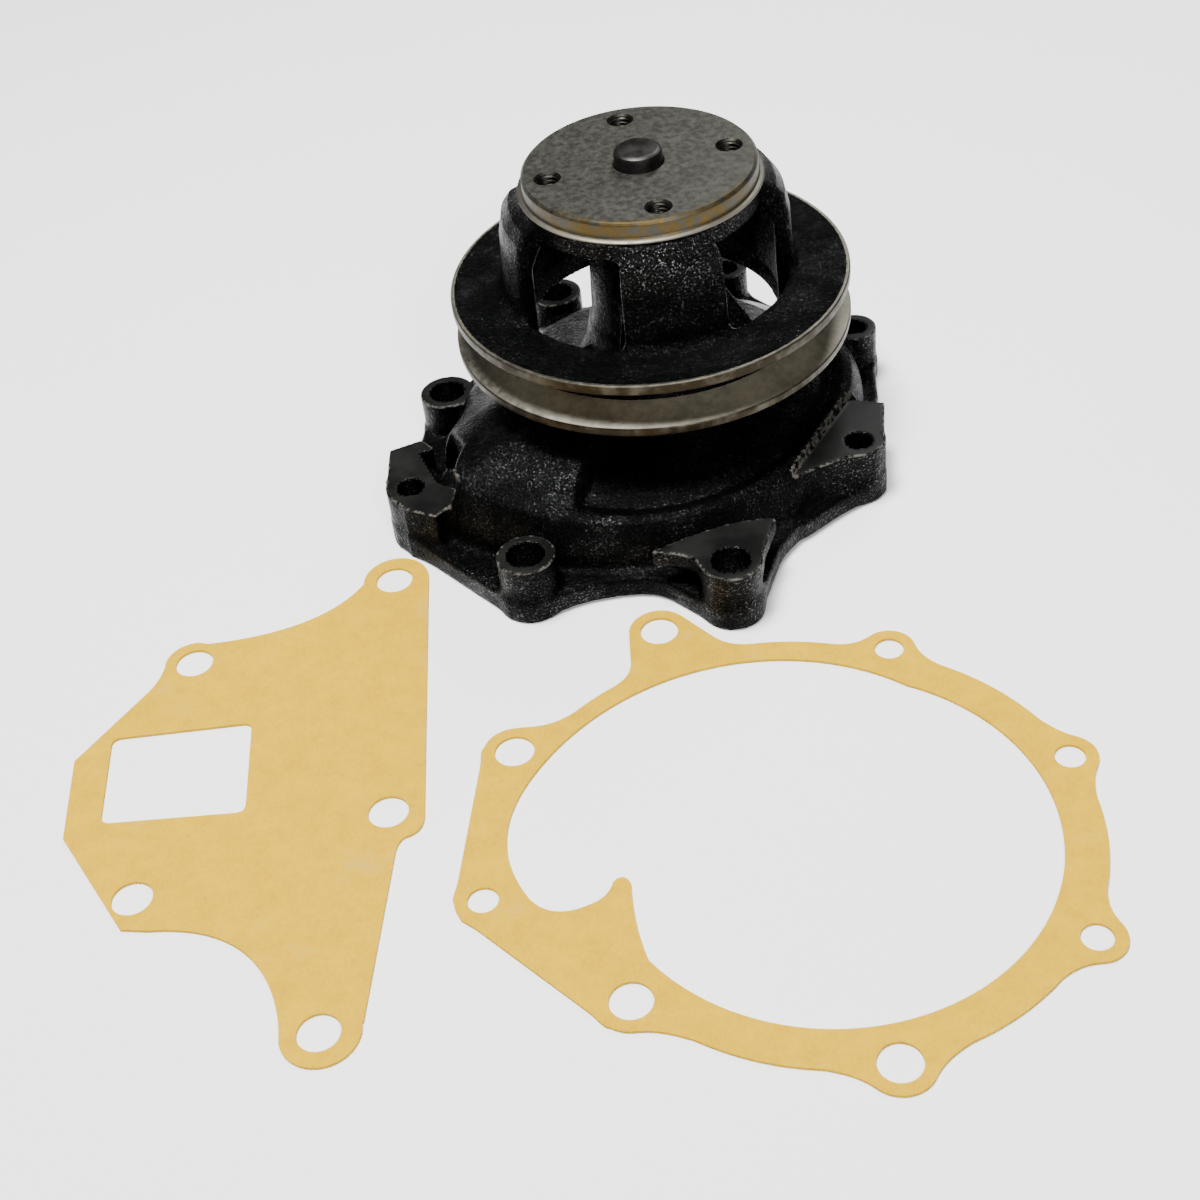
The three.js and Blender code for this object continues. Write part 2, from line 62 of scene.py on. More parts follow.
# ---------- driving dimensions, in millimetres and degrees, in the frame's own axes ----------
MM = 0.001
BIG_HOLE_R = 6.1
SMALL_HOLE_R = 4.5
BIG_LOBE_R = 9.7
SMALL_LOBE_R = 8.2
PAD_Z = 21.0
PAD_MARGIN = 0.6
LEDGE_Z = 8.0
FLANGE_R = 77.0
OPENING_R = 65.0
OPENING_DEPTH = 10
VOLUTE_START = -42.0
VOLUTE_END = -150.0
VOLUTE_FALL = 24
VOLUTE_GROWTH = 24.0
VOLUTE_ROOF_Z = 17
ANGLES_WRAP_AT = 30
DOME_R = 72.0
CHAMBER_R = 53
POCKET_FLOOR_Z = 13
SNOUT_TOP_Z = 93.0
SNOUT_BOTTOM_Z = 30
SNOUT_R = 18.8
SNOUT_DRAFT = 0.05
RIB_ANGLES = (22, 90, 244)
RIB_FOOT_R = 33.6
RIB_FOOT_Z = 42
RIB_BOTTOM_Z = 28
RIB_LEAN = 0.56
RIB_HALF_WIDTH = 2.1
WEEP_R = 2
WEEP_Z = 49.3
PULLEY_R = 68.0
PULLEY_TOP_Z = 68.0
PULLEY_BOTTOM_Z = 48.5
GROOVE_TOP_Z = 64.6
GROOVE_BOTTOM_Z = 51.5
GROOVE_ROOT_R = 56.0
GROOVE_HALF_ANGLE = 18.0
WEB_R = 66.9
WEB_NECK_R = 57
WEB_HOLE_R = 47.6
WEB_FLOOR_Z = 66.2
FAN_FACE_Z = 109.0
FAN_FACE_R = 38.9
LIP_R = 40.6
LIP_TOP_Z = 103.3
LIP_BOTTOM_Z = 102.3
SKIRT_R = 39.5
SKIRT_TOP_Z = 102.4
CASTING_TOP_Z = 102.2
HUB_BOTTOM_Z = 95.0
LEG_ANGLES = [6 + 90 * i for i in range(4)]
LEG_HALF_WIDTH = 21.0
LEG_BOTTOM_Z = 54.6
LEG_TOP_Z = 101.6
TAPPED_CIRCLE_R = 30.3
TAPPED_R = 3.97
TAPPED_BOTTOM_Z = 86
THREAD_PITCH = 1.41
SHAFT_R = 7.94
SHAFT_GAP = 0.3
SHAFT_NOSE_Z = 114.0
PAPER = 0.8
GASKET_SPIRAL_START = -30
GASKET_SPIRAL_END = -128
GASKET_WIDENING = 0.262

# Fillets and softened edges of the housing and the pulley.
FLANGE_EDGE = 2.0
DOME_EDGE = 6.0
DOME_FILLET = 3.0
SNOUT_FILLET = 5.0
RIB_EDGE = 1.0
RIB_FILLET = 2.5
BOSS_EDGE = 0.6
BOSS_FILLET = 2.2
PAD_FILLET = 3.2
MILL_CLEARANCE = 0.8
MILL_FILLET = 1.2
SPOTFACE_CLEARANCE = 0.6
POCKET_FILLET = 1.5
SKIRT_EDGE = 1.5
WEB_FILLET = 0.5
LEG_SIDE_EDGE = 2.5
LEG_END_EDGE = 2.0
LEG_FILLET = 3.6

# Where the camera stands, in metres, and how it looks.
CAMERA_PLACE = (-0.0311, -0.5433, 0.4032)
CAMERA_FORWARD = (0.0, 0.7490, -0.6626)
CAMERA_RIGHT = (0.9913, -0.0871, -0.0984)
CAMERA_LENS = 55.56
CAMERA_SENSOR = 36.0

# Area lights: place in metres, size in metres, power in watts.
LIGHTS = {
    "key": ((-0.25, -0.1, 1.5), 0.45, 64.0),
    "front": ((0.35, -1.3, 1.1), 0.25, 16.0),
    "back": ((0.5, 0.9, 1.0), 0.5, 9.0),
}
LIGHTS_AIM = (0, -0.02, 0.05)
WORLD_STRENGTH = 0.13

# Bolt holes of the flange: place, whether the hole is big, and how many degrees the lobe flares on each side.
BOLTS = {
    "a": ((-76, 12.5), True, (22, 10)),
    "b": ((-90, -41), False, (12, 12)),
    "c": ((-53, -84.5), True, (12, 14)),
    "d": ((11.5, -100.5), True, (15, 18)),
    "e": ((62.5, -48), False, (22, 18)),
    "f": ((73.5, 19.5), False, (18, 18)),
    "h": ((33.5, 71), False, (17, 14)),
    "g": ((-32.5, 69.5), True, (18, 20)),
}
STRAIGHT_EDGES = (("a", "b"), ("b", "c"))


# ---------- camera, first ----------
def make_camera():
    forward = Vector(CAMERA_FORWARD).normalized()
    right = Vector(CAMERA_RIGHT)
    right = (right - forward * right.dot(forward)).normalized()
    up = right.cross(forward)
    data = bpy.data.cameras.new("camera")
    data.lens = CAMERA_LENS
    data.sensor_width = CAMERA_SENSOR
    data.clip_start = 0.01
    camera = bpy.data.objects.new("camera", data)
    rotation = Matrix((right, up, -forward)).transposed().to_4x4()
    camera.matrix_world = Matrix.Translation(Vector(CAMERA_PLACE)) @ rotation
    bpy.context.scene.collection.objects.link(camera)
    bpy.context.scene.camera = camera


make_camera()


# ---------- solid modelling on signed distances, in millimetres ----------
def smooth_union(a, b, k):
    h = np.clip(0.5 + 0.5 * (b - a) / k, 0, 1)
    return b + (a - b) * h - k * h * (1 - h)


def smooth_cut(a, b, k):
    return -smooth_union(-a, b, k)


def smooth_both(a, b, k):
    return -smooth_union(-a, -b, k)


def smoothstep(x, low, high):
    t = np.clip((x - low) / (high - low), 0, 1)
    return t * t * (3 - 2 * t)


def polar(radius, degrees):
    return radius * math.cos(math.radians(degrees)), radius * math.sin(math.radians(degrees))


def polygon_distance(x, y, points):
    """Signed distance to a closed outline, negative inside."""
    best = np.full(np.broadcast(x, y).shape, 1e9, np.float32)
    inside = np.zeros(best.shape, bool)
    for (ax, ay), (bx, by) in zip(points, points[1:] + points[:1]):
        ex, ey = bx - ax, by - ay
        if ex == ey == 0:
            continue
        wx, wy = x - ax, y - ay
        t = np.clip((wx * ex + wy * ey) / (ex * ex + ey * ey), 0, 1)
        best = np.minimum(best, (wx - ex * t) ** 2 + (wy - ey * t) ** 2)
        crosses = (ay > y) != (by > y)
        if ey != 0:
            inside ^= crosses & (x < ax + ex * (y - ay) / ey)
    return np.where(inside, -1, 1) * np.sqrt(best)


def prism(flat, z, bottom, top, rounding):
    """A flat outline's distance carried up between two heights, with softened edges."""
    side = np.maximum(bottom - z, z - top)
    return smooth_both(flat, side, rounding)


def circle(x, y, centre, radius):
    return np.hypot(x - centre[0], y - centre[1]) - radius


def wrapped(degrees):
    """Angles brought into one turn that ends at ANGLES_WRAP_AT, where the volute has no growth."""
    return np.where(degrees > ANGLES_WRAP_AT, degrees - 360, degrees)


def growth(degrees):
    """How far the volute stands outside its starting circle."""
    angle = wrapped(degrees)
    share = (VOLUTE_START - angle) / (VOLUTE_START - VOLUTE_END)
    falling = 1 - (VOLUTE_END - angle) / VOLUTE_FALL
    return VOLUTE_GROWTH * np.clip(np.minimum(share, falling), 0, 1.2)


def soft_growth(degrees):
    """The growth averaged over a few degrees, so that it starts and ends gently."""
    return sum(growth(degrees + turn) for turn in (-6, -3, 0, 3, 6)) / 5


def azimuth(x, y):
    return np.degrees(np.arctan2(y, x))


def tongue(start):
    """The slender tongue that reaches into the opening, and the outlet's side next to it."""
    return (
        curve([start, (-61.5, -8), (-53.8, -20.3)], 12)
        + curve([(-53.8, -20.3), (-53, -25), (-57.4, -23.9)], 8)[1:]
        + curve([(-57.4, -23.9), (-61, -20.4), (-66, -21)], 8)[1:]
        + curve([(-66, -21), (-78.5, -22.5), (-79.4, -33)], 10)[1:]
    )


def opening_outline():
    """The chamber's edge in the casting."""
    arc = [polar(OPENING_R + float(growth(np.array(a))), a) for a in np.arange(VOLUTE_END + 14, 177, 2)]
    return arc + tongue(arc[-1])[1:] + curve([(-79.4, -33), (-79.5, -50), (-68, -57.5)], 12)[1:]


def gasket_opening():
    """The gasket's opening, which widens more quickly than the casting's."""
    angles = np.arange(GASKET_SPIRAL_END, 177, 2)
    arc = [polar(OPENING_R + GASKET_WIDENING * max(0, GASKET_SPIRAL_START - a), a) for a in angles]
    return arc + tongue(arc[-1])[1:] + curve([(-79.4, -33), (-79.3, -58.7), arc[0]], 16)[1:-1]


def curve(points, steps):
    """Points along a straight line, or along a quadratic curve when a middle point is given."""
    out = []
    for i in range(steps + 1):
        t = i / steps
        if len(points) == 2:
            (ax, ay), (bx, by) = points
            out.append((ax + (bx - ax) * t, ay + (by - ay) * t))
        else:
            (ax, ay), (bx, by), (cx, cy) = points
            out.append(((1 - t) ** 2 * ax + 2 * t * (1 - t) * bx + t * t * cx,
                        (1 - t) ** 2 * ay + 2 * t * (1 - t) * by + t * t * cy))
    return out


def surface_net(distance, low, high, step):
    """Meshes the zero surface of a distance function: one vertex a cell, one quad a crossed edge."""
    axes = [np.arange(low[i], high[i] + step, step, dtype=np.float32) for i in range(3)]
    x, y, z = axes[0][:, None, None], axes[1][None, :, None], axes[2][None, None, :]
    shape = [len(a) for a in axes]
    field = np.ascontiguousarray(np.broadcast_to(distance(x, y, z), shape).astype(np.float32))
    solid = field < 0
    cells = tuple(n - 1 for n in field.shape)
    total = np.zeros(cells + (3,), np.float32)
    count = np.zeros(cells, np.float32)
    for axis in range(3):
        low_end = [slice(None)] * 3
        high_end = [slice(None)] * 3
        low_end[axis], high_end[axis] = slice(0, -1), slice(1, None)
        a, b = field[tuple(low_end)], field[tuple(high_end)]
        crossed = solid[tuple(low_end)] != solid[tuple(high_end)]
        where = np.argwhere(crossed)
        share = a[crossed] / (a[crossed] - b[crossed])
        others = [i for i in range(3) if i != axis]
        for du in (0, 1):
            for dv in (0, 1):
                cell = where.copy()
                cell[:, others[0]] -= du
                cell[:, others[1]] -= dv
                ok = np.all((cell >= 0) & (cell < np.array(cells)), axis=1)
                index = tuple(cell[ok].T)
                offset = np.zeros((ok.sum(), 3), np.float32)
                offset[:, axis] = share[ok]
                offset[:, others[0]] = du
                offset[:, others[1]] = dv
                for i in range(3):
                    np.add.at(total[..., i], index, offset[:, i])
                np.add.at(count, index, 1)
    used = np.argwhere(count > 0)
    number = np.full(cells, -1, np.int64)
    number[tuple(used.T)] = np.arange(len(used))
    spot = total[tuple(used.T)] / count[tuple(used.T)][:, None]
    vertices = np.array(low, np.float32) + (used + spot) * step
    quads = []
    for axis in range(3):
        low_end = [slice(1, -1)] * 3
        high_end = [slice(1, -1)] * 3
        low_end[axis], high_end[axis] = slice(0, -1), slice(1, None)
        a, b = solid[tuple(low_end)], solid[tuple(high_end)]
        u, v = (axis + 1) % 3, (axis + 2) % 3
        for rising in (True, False):
            where = np.argwhere((a != b) & (a == rising))
            where[:, u] += 1
            where[:, v] += 1
            ring = []
            for du, dv in ((0, 0), (-1, 0), (-1, -1), (0, -1)):
                cell = where.copy()
                cell[:, u] += du
                cell[:, v] += dv
                ring.append(number[tuple(cell.T)])
            quads.append(np.stack(ring if rising else ring[::-1], axis=1))
    return vertices, np.concatenate(quads)


def settle(vertices, distance, rounds=2):
    """Moves each vertex onto the exact surface along the distance's slope."""
    e = 0.05
    for _ in range(rounds):
        x, y, z = vertices.T.astype(np.float32)
        here = distance(x, y, z)
        slope = np.stack([
            distance(x + e, y, z) - distance(x - e, y, z),
            distance(x, y + e, z) - distance(x, y - e, z),
            distance(x, y, z + e) - distance(x, y, z - e),
        ], axis=1) / (2 * e)
        length = np.maximum((slope ** 2).sum(1), 0.3)
        move = -slope * (here / length)[:, None]
        size = np.linalg.norm(move, axis=1, keepdims=True)
        vertices = vertices + move * np.minimum(1, 0.35 / np.maximum(size, 1e-6))
    return vertices


def mesh_object(name, vertices, faces):
    """A smooth-shaded object from vertices in millimetres, kept inside the CAD's own box."""
    mesh = bpy.data.meshes.new(name)
    vertices = np.clip(np.asarray(vertices, np.float32) * MM, *CAD_BOX).astype(np.float32)
    faces = np.asarray(faces, np.int32)
    sides = faces.shape[1]
    mesh.vertices.add(len(vertices))
    mesh.vertices.foreach_set("co", vertices.ravel())
    mesh.loops.add(faces.size)
    mesh.loops.foreach_set("vertex_index", faces.ravel())
    mesh.polygons.add(len(faces))
    mesh.polygons.foreach_set("loop_start", np.arange(0, faces.size, sides, dtype=np.int32))
    mesh.polygons.foreach_set("use_smooth", np.full(len(faces), True))
    mesh.update(calc_edges=True)
    mesh.validate()
    piece = bpy.data.objects.new(name, mesh)
    bpy.context.scene.collection.objects.link(piece)
    return piece


def cast_object(name, distance, low, high, step):
    vertices, faces = surface_net(distance, low, high, step)
    return mesh_object(name, settle(vertices, distance), faces)


def turned_object(name, profile, facets, material):
    """A closed profile of (radius, height) turned about Z, with sharp edges kept sharp."""
    ring = np.arange(facets) * (2 * math.pi / facets)
    rows = [np.stack([r * np.cos(ring), r * np.sin(ring), np.full(facets, z)], axis=1) for r, z in profile]
    vertices = np.concatenate(rows)
    n = len(profile)
    i = np.arange(facets)
    j = (i + 1) % facets
    faces = [np.stack([a * facets + i, a * facets + j, b * facets + j, b * facets + i], axis=1)
             for a, b in zip(range(n), list(range(1, n)) + [0])]
    piece = mesh_object(name, vertices, np.concatenate(faces))
    area = sum(r0 * z1 - r1 * z0 for (r0, z0), (r1, z1) in zip(profile, profile[1:] + profile[:1]))
    if area < 0:
        piece.data.flip_normals()
    sharpen(piece, 32)
    piece.data.materials.append(material)
    return piece


def sharpen(piece, degrees):
    piece.data.set_sharp_from_angle(angle=math.radians(degrees))


# ---------- materials ----------
class Nodes:
    """A short way to write a node tree."""

    def __init__(self, name):
        self.material = bpy.data.materials.new(name)
        self.material.use_nodes = True
        self.tree = self.material.node_tree
        self.shader = self.tree.nodes["Principled BSDF"]
        self.coords = self.tree.nodes.new("ShaderNodeTexCoord").outputs["Object"]

    def link(self, source, target):
        self.tree.links.new(source, target)

    def noise(self, scale, detail=3.0, roughness=0.55, stretch=None, distortion=0.0):
        node = self.tree.nodes.new("ShaderNodeTexNoise")
        node.inputs["Scale"].default_value = scale
        node.inputs["Detail"].default_value = detail
        node.inputs["Roughness"].default_value = roughness
        node.inputs["Distortion"].default_value = distortion
        self.link(self.place(stretch), node.inputs["Vector"])
        return node.outputs["Fac"]

    def place(self, stretch=None):
        if stretch is None:
            return self.coords
        node = self.tree.nodes.new("ShaderNodeMapping")
        node.inputs["Scale"].default_value = stretch
        self.link(self.coords, node.inputs["Vector"])
        return node.outputs["Vector"]

    def ramp(self, value, low, high, to_low=0.0, to_high=1.0):
        node = self.tree.nodes.new("ShaderNodeMapRange")
        node.interpolation_type = "SMOOTHSTEP"
        node.inputs["From Min"].default_value = low
        node.inputs["From Max"].default_value = high
        node.inputs["To Min"].default_value = to_low
        node.inputs["To Max"].default_value = to_high
        self.link(value, node.inputs["Value"])
        return node.outputs["Result"]

    def math(self, operation, a, b=None):
        node = self.tree.nodes.new("ShaderNodeMath")
        node.operation = operation
        for socket, value in zip(node.inputs, (a, b)):
            if value is None:
                continue
            if isinstance(value, (int, float)):
                socket.default_value = value
            else:
                self.link(value, socket)
        return node.outputs["Value"]

    def mix(self, factor, a, b):
        node = self.tree.nodes.new("ShaderNodeMix")
        node.data_type = "RGBA"
        for socket, value in ((node.inputs[0], factor), (node.inputs[6], a), (node.inputs[7], b)):
            if isinstance(value, (int, float)):
                socket.default_value = value
            elif isinstance(value, tuple):
                socket.default_value = (*value, 1.0)
            else:
                self.link(value, socket)
        return node.outputs[2]

    def axis(self, name):
        node = self.tree.nodes.new("ShaderNodeSeparateXYZ")
        self.link(self.coords, node.inputs["Vector"])
        return node.outputs[name]

    def times(self, a, b):
        return self.math("MULTIPLY", a, b)

    def plus(self, a, b):
        return self.math("ADD", a, b)

    def radius(self):
        x, y = self.axis("X"), self.axis("Y")
        return self.math("SQRT", self.plus(self.times(x, x), self.times(y, y)))

    def bump(self, height, strength, distance, under=None):
        node = self.tree.nodes.new("ShaderNodeBump")
        node.inputs["Strength"].default_value = strength
        node.inputs["Distance"].default_value = distance
        self.link(height, node.inputs["Height"])
        if under is not None:
            self.link(under, node.inputs["Normal"])
        return node.outputs["Normal"]

    def set(self, **values):
        for key, value in values.items():
            socket = self.shader.inputs[key.replace("_", " ")]
            if isinstance(value, tuple):
                socket.default_value = (*value, 1.0)
            elif isinstance(value, (int, float)):
                socket.default_value = value
            else:
                self.link(value, socket)
        return self.material


def black_enamel(name="black_enamel", grain=1.0, gloss=0.16, edge_highlight=0.0, oil=0.0):
    """Black enamel that has run over a sand casting, with wet patches, dust low down and, where asked, a
    painted highlight along the pad edges.
    """
    n = Nodes(name)
    sand = n.noise(1400, 2.0, 0.6)
    lumps = n.noise(520, 3.0, 0.6)
    waves = n.noise(60, 2.0)
    height = n.axis("Z")
    dust = n.ramp(n.noise(110, 6.0, 0.7), 0.6, 0.74)
    wall = n.ramp(height, 0.02, 0.0, 0.0, 0.6)
    brown = n.times(dust, n.plus(wall, 0.04))
    color = n.mix(n.ramp(lumps, 0.3, 0.7), (0.0004, 0.0005, 0.0005), (0.0013, 0.0015, 0.0013))
    color = n.mix(brown, color, (0.011, 0.007, 0.004))
    # Painted highlight: a lighter band along the top of the pad and boss edges, broken up by noise, stands in
    # for the light their bevels catch.
    if edge_highlight:
        edge_highlight_breakup = n.ramp(n.noise(420, 3.0), 0.4, 0.6, 0.0, edge_highlight)
        edge = n.times(n.ramp(height, 0.0202, 0.0206), edge_highlight_breakup)
        color = n.mix(edge, color, (0.16, 0.15, 0.13))
    wet = n.ramp(n.noise(85, 4.0), 0.4, 0.64, 0.15, 1.0)
    if oil:
        front = n.ramp(n.axis("Y"), -0.02, -0.036)
        shoulder = n.ramp(height, 0.084, 0.095)
        wet = n.plus(wet, n.times(n.times(shoulder, front), oil))
    dull = n.plus(gloss + 0.13, n.times(brown, 0.25))
    rough = n.math("SUBTRACT", dull, n.times(wet, 0.1))
    normal = n.bump(waves, 0.25, 0.0012)
    normal = n.bump(lumps, 0.6 * grain, 0.0008, normal)
    normal = n.bump(sand, 0.9 * grain, 0.0005, normal)
    glints = n.ramp(sand, 0.56, 0.68, 0.025, 0.6)
    shine = n.plus(n.times(wet, glints), 0.012)
    return n.set(Base_Color=color, Roughness=rough, Normal=normal, Specular_IOR_Level=shine)


def enamelled_pad():
    """A milled face under thin black enamel: flat, satin, with faint cutter marks."""
    n = Nodes("enamelled_pad")
    marks = n.noise(260, 3.0, 0.5, (1.0, 6.0, 1.0))
    patches = n.noise(70, 3.0)
    color = n.mix(n.ramp(patches, 0.35, 0.7), (0.003, 0.0033, 0.003), (0.008, 0.0085, 0.0075))
    normal = n.bump(marks, 0.12, 0.0004)
    return n.set(Base_Color=color, Roughness=n.ramp(patches, 0.3, 0.7, 0.34, 0.48), Normal=normal,
                 Metallic=0.0, Specular_IOR_Level=0.1)


def machined_iron(name, low=(0.058, 0.058, 0.05), high=(0.083, 0.083, 0.071), oil=0.0, rough=0.46, band=None):
    """Turned cast iron: rings from the tool, grey mottling, and where asked an oil film with a painted
    highlight on the lip, or a stained band.
    """
    n = Nodes(name)
    radius = n.radius()
    rings = n.math("SINE", n.times(radius, 14000.0))
    mottle = n.noise(420, 6.0, 0.75)
    patches = n.ramp(n.noise(90, 5.0, 0.65), 0.35, 0.7)
    color = n.mix(n.ramp(mottle, 0.34, 0.66), low, high)
    color = n.mix(n.times(patches, 0.35), color, (0.045, 0.041, 0.033))
    if oil:
        front = n.ramp(n.axis("Y"), -0.006, -0.034, 0.0, 1.0)
        rim = n.ramp(radius, 0.0358, 0.0386, 0.0, 1.0)
        drops = n.ramp(n.noise(260, 6.0, 0.7), 0.38, 0.58)
        film = n.times(n.times(front, rim), drops)
        color = n.mix(n.times(film, oil), color, (0.1, 0.068, 0.022))
        height = n.axis("Z")
        # Painted highlight: the lip's band is mixed lighter to stand in for the bright line of light along
        # its edge.
        lip = n.times(n.ramp(height, 0.10225, 0.1026), n.ramp(height, 0.1036, 0.1033))
        color = n.mix(n.times(lip, 0.8), color, (0.15, 0.14, 0.115))
    if band:
        stain = n.ramp(n.noise(160, 4.0), 0.3, 0.6, 0.75, 1.0)
        outside = n.times(n.ramp(radius, 0.0674, 0.0679), stain)
        color = n.mix(outside, color, band)
    normal = n.bump(rings, 0.05, 0.0001)
    normal = n.bump(mottle, 0.1, 0.0002, normal)
    roughness = n.ramp(mottle, 0.3, 0.7, rough - 0.06, rough + 0.12)
    return n.set(Base_Color=color, Metallic=1.0, Roughness=roughness, Normal=normal)


def plain_metal(name, low, high, rough, metallic=1.0, scale=220.0):
    n = Nodes(name)
    grain = n.noise(scale, 4.0, 0.6)
    color = n.mix(n.ramp(grain, 0.3, 0.7), low, high)
    normal = n.bump(grain, 0.12, 0.0003)
    roughness = n.ramp(grain, 0.3, 0.7, rough, rough + 0.12)
    return n.set(Base_Color=color, Metallic=metallic, Roughness=roughness, Normal=normal)


def gasket_paper():
    """Tan cellulose sheet: short fibres, small dark flecks, a few handling marks."""
    n = Nodes("gasket_paper")
    fibres = n.noise(1100, 5.0, 0.7, (1.0, 0.45, 1.0), 0.4)
    clouds = n.noise(120, 6.0, 0.75)
    flecks = n.ramp(n.noise(620, 2.0, 0.5), 0.64, 0.74)
    marks = n.ramp(n.noise(30, 6.0, 0.75), 0.57, 0.76, 0.0, 0.6)
    color = n.mix(n.ramp(clouds, 0.3, 0.72), (0.47, 0.275, 0.0), (0.58, 0.345, 0.001))
    color = n.mix(n.ramp(fibres, 0.35, 0.75, 0.0, 0.5), color, (0.64, 0.385, 0.003))
    color = n.mix(n.times(flecks, 0.35), color, (0.34, 0.19, 0.04))
    color = n.mix(marks, color, (0.42, 0.27, 0.08))
    normal = n.bump(fibres, 0.3, 0.0002)
    return n.set(Base_Color=color, Roughness=0.85, Normal=normal, Specular_IOR_Level=0.06)


ENAMEL = black_enamel()
LEG_ENAMEL = black_enamel("thick_enamel", 1.5, 0.15, oil=1.3)
# Enamel with a painted highlight along the top of the pad and boss edges.
PAD_EDGE_HIGHLIGHT = black_enamel("pad_edge_highlight", 1.0, 0.16, 0.45)
PAD = enamelled_pad()
# Turned face with an oil film and a painted highlight on the lip.
FACE = machined_iron("turned_face", oil=0.9)
GROOVE = machined_iron("turned_groove", (0.18, 0.17, 0.138), (0.245, 0.232, 0.19), rough=0.4,
                       band=(0.022, 0.017, 0.01))
THREAD = machined_iron("cut_thread", (0.03, 0.029, 0.025), (0.06, 0.058, 0.05), rough=0.3)
IRON = plain_metal("bare_iron", (0.07, 0.068, 0.066), (0.15, 0.145, 0.14), 0.55)
NOSE = plain_metal("dark_steel", (0.02, 0.019, 0.018), (0.045, 0.043, 0.041), 0.34, scale=160)
STEEL = plain_metal("ground_steel", (0.5, 0.5, 0.51), (0.6, 0.6, 0.61), 0.22)
BRASS = plain_metal("brass", (0.5, 0.34, 0.12), (0.66, 0.47, 0.19), 0.28)
RUBBER = plain_metal("black_rubber", (0.012, 0.012, 0.012), (0.025, 0.025, 0.025), 0.6, 0.0)
CARBON = plain_metal("seal_carbon", (0.03, 0.03, 0.032), (0.05, 0.05, 0.055), 0.4, 0.0)
CERAMIC = plain_metal("seat_ceramic", (0.74, 0.71, 0.64), (0.82, 0.79, 0.72), 0.2, 0.0)
TAN = gasket_paper()


# ---------- housing ----------
def lobe_radius(bolt):
    return BIG_LOBE_R if bolt[1] else SMALL_LOBE_R


def hole_radius(bolt):
    return BIG_HOLE_R if bolt[1] else SMALL_HOLE_R


def lobe_distance(x, y, bolt):
    """A rounded lobe about a bolt hole that flares inwards to the rim on both sides."""
    centre, _, flare = bolt
    radius = lobe_radius(bolt)
    middle = math.degrees(math.atan2(centre[1], centre[0]))
    corners = []
    for side, spread in zip((-1, 1), flare):
        angle = middle + side * spread
        foot = polar(FLANGE_R + float(growth(np.array(angle))) - 1.5, angle)
        line = math.atan2(foot[1] - centre[1], foot[0] - centre[0])
        reach = math.hypot(foot[0] - centre[0], foot[1] - centre[1])
        touch = line - side * math.acos(min(1, radius / reach))
        corners.append((foot, (centre[0] + radius * math.cos(touch), centre[1] + radius * math.sin(touch))))
    (first, first_touch), (last, last_touch) = corners
    inner = (centre[0] * 0.7, centre[1] * 0.7)
    flared = polygon_distance(x, y, [inner, first, first_touch, last_touch, last])
    return np.minimum(flared, circle(x, y, centre, radius))


def strap(x, y, one, other):
    """The straight outer edge that joins two lobes by their common tangent."""
    (ax, ay), (bx, by) = one[0], other[0]
    ra, rb = lobe_radius(one), lobe_radius(other)
    reach = math.hypot(bx - ax, by - ay)
    out = math.atan2(by - ay, bx - ax) - math.acos((ra - rb) / reach)
    c, s = math.cos(out), math.sin(out)
    tangent = [(ax + ra * c, ay + ra * s), (bx + rb * c, by + rb * s)]
    return polygon_distance(x, y, [(ax, ay)] + tangent + [(bx, by), (0, 0)])


def flange_distance(x, y, bolts=BOLTS, blend=6.0):
    """The flange's outline: the rim that follows the volute, with the lobes melted into it."""
    whole = np.hypot(x, y) - FLANGE_R - soft_growth(azimuth(x, y))
    for bolt in bolts.values():
        whole = smooth_union(whole, lobe_distance(x, y, bolt), blend)
    for one, other in STRAIGHT_EDGES:
        whole = smooth_union(whole, strap(x, y, bolts[one], bolts[other]), 2.0)
    return whole


# The dome's outside on three sides, as (distance from the axis, height).
RIGHT_SIDE = [(0, 52), (22, 50), (24, 43), (28, 36), (35, 32), (44, 29.5), (52, 27.6), (57, 25.2),
              (60.5, 21.8), (65, 24), (68, 23.4), (71, 20), (90, 6)]
BACK_SIDE = [(0, 52), (22, 50), (24, 42), (28, 34.5), (35, 30), (44, 28), (52, 26.2), (57, 22.8),
             (61, 19.5), (65, 17), (71, 13.5), (90, 4)]
OUTLET_SIDE = [(0, 52), (22, 50), (24, 46.5), (28, 45), (35, 43), (44, 40.5), (52, 37), (57, 34),
               (63, 31), (68, 27.5), (71, 23), (90, 6)]


def behind_share(degrees):
    """How far an angle belongs to the low back of the dome."""
    return smoothstep(degrees, 15, 45) * (1 - smoothstep(degrees, 150, 175))


def dome_top(x, y):
    """Height of the dome's outside: a cone, a valley and the volute's round shoulder."""
    angle = azimuth(x, y)
    wide = soft_growth(angle)
    rho = np.hypot(x, y)
    narrowed = rho - wide * smoothstep(rho, 40, 40 + 26 + wide)
    right = np.interp(narrowed, *zip(*RIGHT_SIDE))
    outlet = np.interp(narrowed, *zip(*OUTLET_SIDE))
    turned = -wrapped(angle)
    outward = smoothstep(narrowed, 55, 64)
    rise = smoothstep(turned, 115.5, 118) * (1 - outward) + smoothstep(turned, 88, 150) * outward
    back = np.interp(narrowed, *zip(*BACK_SIDE))
    forward = right + (outlet - right) * rise * (1 - smoothstep(turned, 160, 195))
    return forward + (back - forward) * behind_share(angle)


# The casting's bores, as (radius, bottom, top).
BORES = [(23, 0, 26), (18.2, 20, 43.4), (11, 40, 50), (13.2, 45.5, 55), (15.3, 52.5, 120)]

